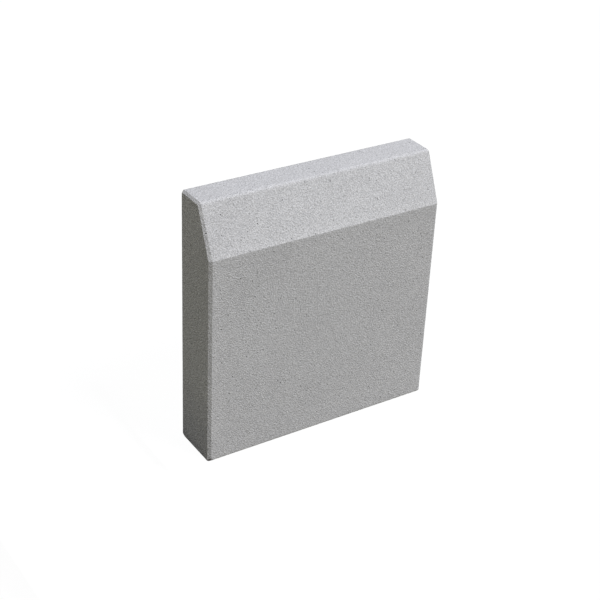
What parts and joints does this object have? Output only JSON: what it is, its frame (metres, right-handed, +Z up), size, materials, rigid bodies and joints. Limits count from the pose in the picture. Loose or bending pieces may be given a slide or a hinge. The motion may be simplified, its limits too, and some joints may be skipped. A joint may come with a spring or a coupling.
{
  "type": "concrete kerb stone",
  "caption": "Upright concrete edging kerb with a splayed upper front, a narrow flat top and bevelled end edges, set in a line on its bedding face to hold paving.",
  "frame": {"origin": "on the bedding plane, under the middle of the stone's box", "axes": "+X along the kerb line, -Y towards the splayed front, +Y towards the back, +Z up"},
  "size_m": [0.332, 0.071, 0.35],
  "materials": {
    "concrete": "dry cast concrete, fine sand grain, matt"
  },
  "bodies": {
    "root": {"kerb_stone": "concrete"}
  },
  "joints": []
}
